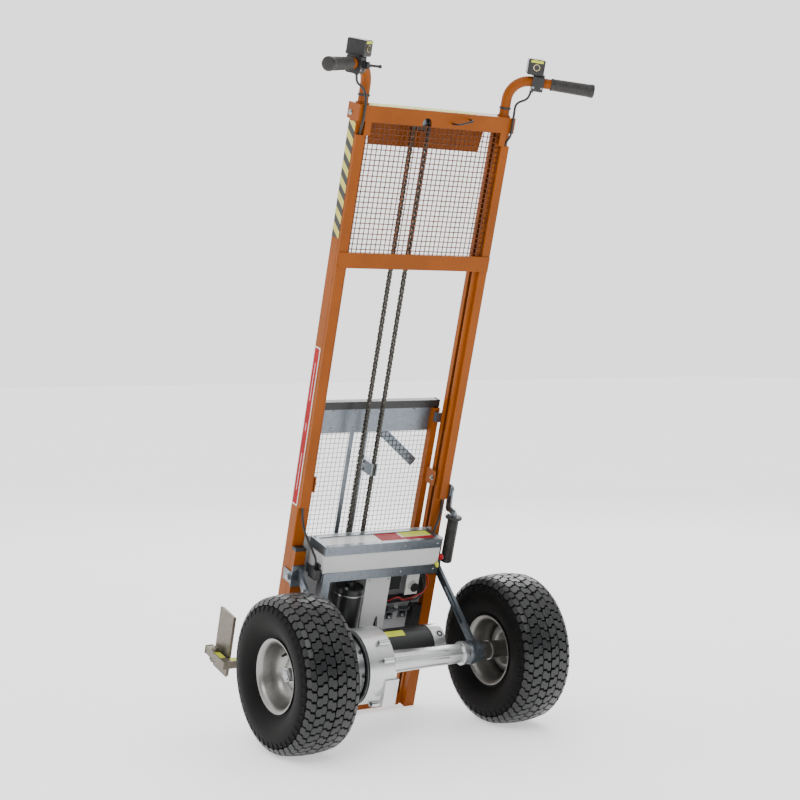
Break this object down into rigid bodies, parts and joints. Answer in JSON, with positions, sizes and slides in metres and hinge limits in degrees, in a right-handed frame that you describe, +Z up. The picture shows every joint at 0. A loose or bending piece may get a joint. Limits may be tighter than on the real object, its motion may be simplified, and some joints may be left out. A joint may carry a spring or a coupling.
{
  "type": "electric lift trolley",
  "caption": "Two wheeled powered lift trolley with a leaning orange mast, chain driven carriage with side clamps, handlebars and a battery box over a motorised axle.",
  "frame": {"origin": "bottom centre of the bounding box, on the floor", "axes": "+X to the operator's right along the wheel axle, +Y ahead of the operator toward the load, +Z up; the mast leans back toward the operator by 16.5 degrees"},
  "size_m": [0.7754, 0.7144, 1.6675],
  "materials": {
    "orange_paint": "glossy powder coat",
    "black_plastic": "moulded",
    "grip_rubber": "moulded",
    "button_plastic": "moulded",
    "galvanised": "zinc plated",
    "grey_paint": "satin powder coat",
    "dark_steel": "dark zinc",
    "chain_steel": "oiled",
    "motor_black": "satin",
    "cast_alloy": "sand cast",
    "wheel_steel": "silver lacquer",
    "axle_steel": "turned",
    "tyre_rubber": "moulded tread",
    "battery_case": "moulded",
    "socket_white": "moulded"
  },
  "bodies": {
    "chassis": {"rail_left": "orange_paint", "rail_right": "orange_paint", "cable_ducts": "orange_paint", "crosshead": "orange_paint", "head_plate": "orange_paint", "guard_bar": "orange_paint", "guard_mesh": "orange_paint", "foot_posts": "orange_paint", "foot_crossbar": "orange_paint", "handlebars": "orange_paint", "post_caps": "black_plastic", "control_left": "black_plastic", "control_right": "black_plastic", "controller": "black_plastic", "hand_grips": "grip_rubber", "cables": "grip_rubber", "box_frames": "galvanised", "base_plate": "grey_paint", "drive_cover": "grey_paint", "battery_box": "grey_paint", "battery_lid": "grey_paint", "support_arms": "dark_steel", "axle_clamps": "dark_steel", "brackets_and_pins": "dark_steel", "lift_chain": "chain_steel", "lift_motor": "motor_black", "drive_motor": "motor_black", "gear_housing": "cast_alloy", "axle_tube": "cast_alloy", "drive_motor_cap": "cast_alloy", "lift_gearbox": "cast_alloy", "batteries": "battery_case", "charge_socket": "socket_white"},
    "carriage": {"carriage_frame": "orange_paint", "backrest_mesh": "galvanised", "backrest_top_bar": "motor_black", "backrest_strips": "galvanised", "carriage_fittings": "galvanised"},
    "roller_lower_left_body": {"roller_lower_left": "axle_steel"},
    "roller_lower_right_body": {"roller_lower_right": "axle_steel"},
    "roller_upper_left_body": {"roller_upper_left": "axle_steel"},
    "roller_upper_right_body": {"roller_upper_right": "axle_steel"},
    "clamp_left": {"clamp_arm_left": "galvanised"},
    "clamp_right": {"clamp_arm_right": "galvanised"},
    "pad_left": {"clamp_pad_left": "galvanised"},
    "pad_right": {"clamp_pad_right": "galvanised"},
    "wheel_left": {"tyre_left": "tyre_rubber", "rim_left": "wheel_steel", "half_shaft_left": "axle_steel"},
    "wheel_right": {"tyre_right": "tyre_rubber", "rim_right": "wheel_steel", "half_shaft_right": "axle_steel"},
    "idler": {"top_sprocket": "chain_steel"},
    "driver": {"drive_sprocket": "chain_steel"},
    "release": {"release_lever": "galvanised", "lever_grip": "grip_rubber"},
    "button_left_body": {"button_left": "button_plastic"},
    "button_right_body": {"button_right": "button_plastic"},
    "thumb": {"thumb_lever": "black_plastic"}
  },
  "joints": [
    {"name": "lift", "type": "slide", "parent": "chassis", "child": "carriage", "axis": [0, -0.284, 0.9588], "range_m": [-0.11, 0.7]},
    {"name": "roller_lower_left_turn", "type": "hinge", "parent": "carriage", "child": "roller_lower_left_body", "pos_m": [-0.198, 0.19222, 0.16768], "axis": [1, 0, 0], "continuous": true},
    {"name": "roller_upper_left_turn", "type": "hinge", "parent": "carriage", "child": "roller_upper_left_body", "pos_m": [-0.198, 0.05675, 0.62504], "axis": [1, 0, 0], "continuous": true},
    {"name": "roller_lower_right_turn", "type": "hinge", "parent": "carriage", "child": "roller_lower_right_body", "pos_m": [0.198, 0.19222, 0.16768], "axis": [1, 0, 0], "continuous": true},
    {"name": "roller_upper_right_turn", "type": "hinge", "parent": "carriage", "child": "roller_upper_right_body", "pos_m": [0.198, 0.05675, 0.62504], "axis": [1, 0, 0], "continuous": true},
    {"name": "idler_turn", "type": "hinge", "parent": "chassis", "child": "idler", "pos_m": [-0.032, -0.20142, 1.4966], "axis": [0, 0.9588, 0.284], "continuous": true},
    {"name": "driver_turn", "type": "hinge", "parent": "chassis", "child": "driver", "pos_m": [-0.032, 0.1766, 0.22042], "axis": [0, 0.9588, 0.284], "continuous": true},
    {"name": "clamp_left_slide", "type": "slide", "parent": "carriage", "child": "clamp_left", "axis": [1, 0, 0], "range_m": [-0.05, 0.06]},
    {"name": "clamp_right_slide", "type": "slide", "parent": "carriage", "child": "clamp_right", "axis": [1, 0, 0], "range_m": [-0.06, 0.05]},
    {"name": "pad_left_swing", "type": "hinge", "parent": "clamp_left", "child": "pad_left", "pos_m": [-0.319, 0.31759, 0.17666], "axis": [0, 0.284, -0.9588], "range_deg": [-4, 4]},
    {"name": "pad_right_swing", "type": "hinge", "parent": "clamp_right", "child": "pad_right", "pos_m": [0.319, 0.31759, 0.17666], "axis": [0, -0.284, 0.9588], "range_deg": [-4, 4]},
    {"name": "wheel_left_spin", "type": "hinge", "parent": "chassis", "child": "wheel_left", "pos_m": [-0.31, -0.08283, 0.1905], "axis": [1, 0, 0], "continuous": true},
    {"name": "wheel_right_spin", "type": "hinge", "parent": "chassis", "child": "wheel_right", "pos_m": [0.31, -0.08283, 0.1905], "axis": [1, 0, 0], "continuous": true},
    {"name": "release_swing", "type": "hinge", "parent": "chassis", "child": "release", "pos_m": [0.2275, 0.04404, 0.59311], "axis": [-1, 0, 0], "range_deg": [0, 50]},
    {"name": "button_left_press", "type": "slide", "parent": "chassis", "child": "button_left_body", "axis": [-0.5349, 0.8101, 0.24], "range_m": [0, 0.0025], "stiffness_N_per_m": 400, "springref_m": -0.001},
    {"name": "button_right_press", "type": "slide", "parent": "chassis", "child": "button_right_body", "axis": [0.5349, 0.8101, 0.24], "range_m": [0, 0.0025], "stiffness_N_per_m": 400, "springref_m": -0.001},
    {"name": "thumb_lever_turn", "type": "hinge", "parent": "chassis", "child": "thumb", "pos_m": [-0.23941, -0.28901, 1.59998], "axis": [0, -0.284, 0.9588], "range_deg": [-3, 22], "stiffness_Nm_per_rad": 0.08}
  ],
  "couplings": [
    {"joint": "roller_lower_left_turn", "follows": "lift", "rad_per_m": 98.039},
    {"joint": "roller_upper_left_turn", "follows": "lift", "rad_per_m": 98.039},
    {"joint": "roller_lower_right_turn", "follows": "lift", "rad_per_m": 98.039},
    {"joint": "roller_upper_right_turn", "follows": "lift", "rad_per_m": 98.039},
    {"joint": "idler_turn", "follows": "lift", "rad_per_m": -46.724},
    {"joint": "driver_turn", "follows": "lift", "rad_per_m": -46.724},
    {"joint": "clamp_right_slide", "follows": "clamp_left_slide", "ratio": -1}
  ]
}
